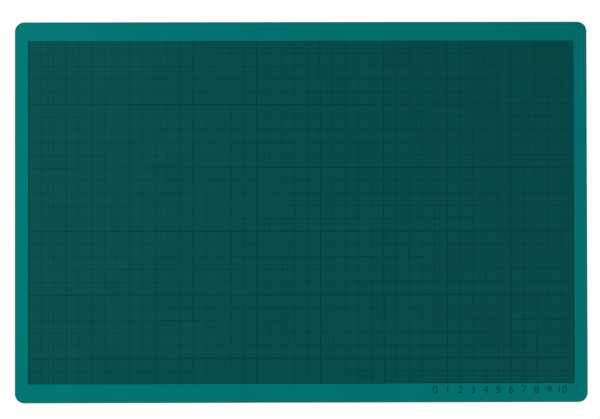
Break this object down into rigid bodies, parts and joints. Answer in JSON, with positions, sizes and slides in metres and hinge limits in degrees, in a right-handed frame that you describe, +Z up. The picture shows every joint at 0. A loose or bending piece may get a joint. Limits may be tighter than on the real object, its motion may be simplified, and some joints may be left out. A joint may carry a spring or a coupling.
{
  "type": "cutting mat",
  "caption": "Flat rectangular self-healing cutting mat of pressed PVC plies, with round corners, rolled edges and a printed measuring grid on its upper face.",
  "frame": {"origin": "middle of the underside, on the table", "axes": "+X along the long side, to the right in the picture; +Y across the mat, to the top of the picture; +Z up, out of the printed face"},
  "size_m": [0.451, 0.3, 0.0031],
  "materials": {
    "cutting_green": "satin-matt soft PVC with a fine pressed grain",
    "cushion_green": "soft PVC, seen only at the cut edge",
    "core_grey": "hard PVC, seen only at the cut edge",
    "field_shade": "dark see-through tint over the green, with its fine rulings seen together",
    "dark_ink": "matt screen-printed ink"
  },
  "bodies": {
    "root": {"bottom_cutting_ply": "cutting_green", "lower_cushion_ply": "cushion_green", "hard_core_ply": "core_grey", "upper_cushion_ply": "cushion_green", "top_cutting_ply": "cutting_green", "field_tint_print": "field_shade", "crosswise_grid_print": "dark_ink", "lengthwise_grid_print": "dark_ink"}
  },
  "joints": []
}
